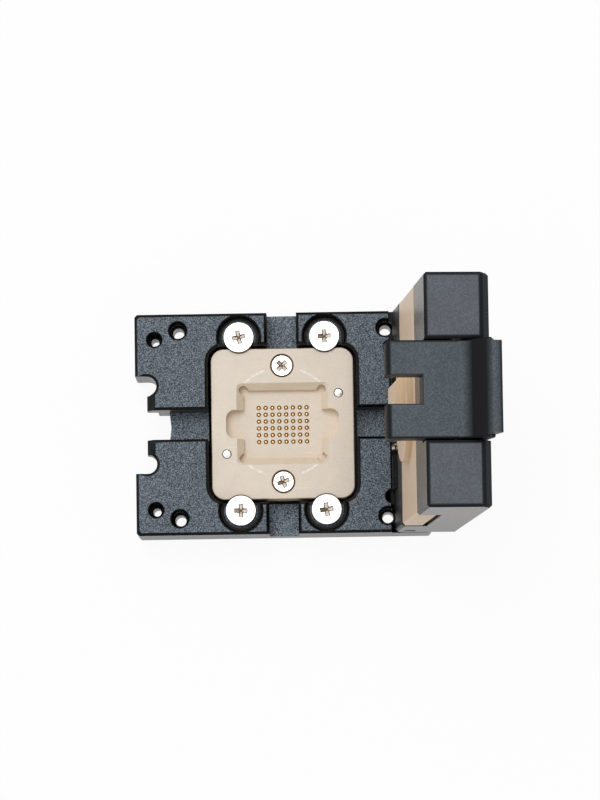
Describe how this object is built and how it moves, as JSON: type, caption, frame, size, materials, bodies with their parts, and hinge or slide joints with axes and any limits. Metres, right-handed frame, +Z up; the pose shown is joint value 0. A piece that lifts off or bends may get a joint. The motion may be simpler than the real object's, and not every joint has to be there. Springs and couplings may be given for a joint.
{
  "type": "flip_top_bga_test_socket",
  "caption": "Flip-top test socket for ball grid array packages: black aluminium frame with a PEEK pin body, and a hinged latching lid with a sprung PEEK pressure plate",
  "frame": {"origin": "centre of the flat underside, below the middle of the pin grid", "axes": "+Z up, +X from the latch noses to the hinge, +Y along the hinge pin"},
  "size_m": [0.0418, 0.026, 0.0444],
  "materials": {
    "black_anodised": "bead blasted and black anodised",
    "lid_anodised": "fine milled and black anodised",
    "peek": "machined natural PEEK",
    "nickel_plate": "bright nickel plated steel",
    "spring_steel": "bright drawn steel",
    "gold_plate": "gold plated brass of the contact pins"
  },
  "bodies": {
    "base": {"base_frame": "black_anodised", "pin_body": "peek", "contact_plate": "peek", "clamp_screw_1": "nickel_plate", "clamp_screw_2": "nickel_plate", "clamp_screw_3": "nickel_plate", "clamp_screw_4": "nickel_plate", "plate_screw_1": "nickel_plate", "plate_screw_2": "nickel_plate", "locating_pin_1": "nickel_plate", "locating_pin_2": "nickel_plate", "torsion_spring": "spring_steel"},
    "lid": {"lid_frame": "lid_anodised", "hinge_pin": "spring_steel", "latch_pin": "spring_steel", "latch_spring": "spring_steel", "plate_spring_1": "spring_steel", "plate_spring_2": "spring_steel", "plate_spring_3": "spring_steel", "plate_spring_4": "spring_steel"},
    "pressure": {"pressure_plate": "peek", "guide_screw_1": "nickel_plate", "guide_screw_2": "nickel_plate", "guide_screw_3": "nickel_plate", "guide_screw_4": "nickel_plate"},
    "catch": {"latch": "lid_anodised"}
  },
  "joints": [
    {"name": "lid_hinge", "type": "hinge", "parent": "base", "child": "lid", "pos_m": [0.0146, 0, 0.00865], "axis": [0, -1, 0], "range_deg": [0, 95.5], "stiffness_Nm_per_rad": 0.002, "springref_deg": -20.05},
    {"name": "plate_slide", "type": "slide", "parent": "lid", "child": "pressure", "axis": [0.9954, 0, -0.0958], "range_m": [0, 0.00045], "stiffness_N_per_m": 100, "springref_m": -0.002, "deforming": ["plate_spring_1", "plate_spring_2", "plate_spring_3", "plate_spring_4"]},
    {"name": "latch_hinge", "type": "hinge", "parent": "lid", "child": "catch", "pos_m": [0.01962, 0, 0.03891], "axis": [0, 1, 0], "range_deg": [0, 12], "stiffness_Nm_per_rad": 0.002, "springref_deg": -17.19, "deforming": ["latch_spring"]}
  ]
}
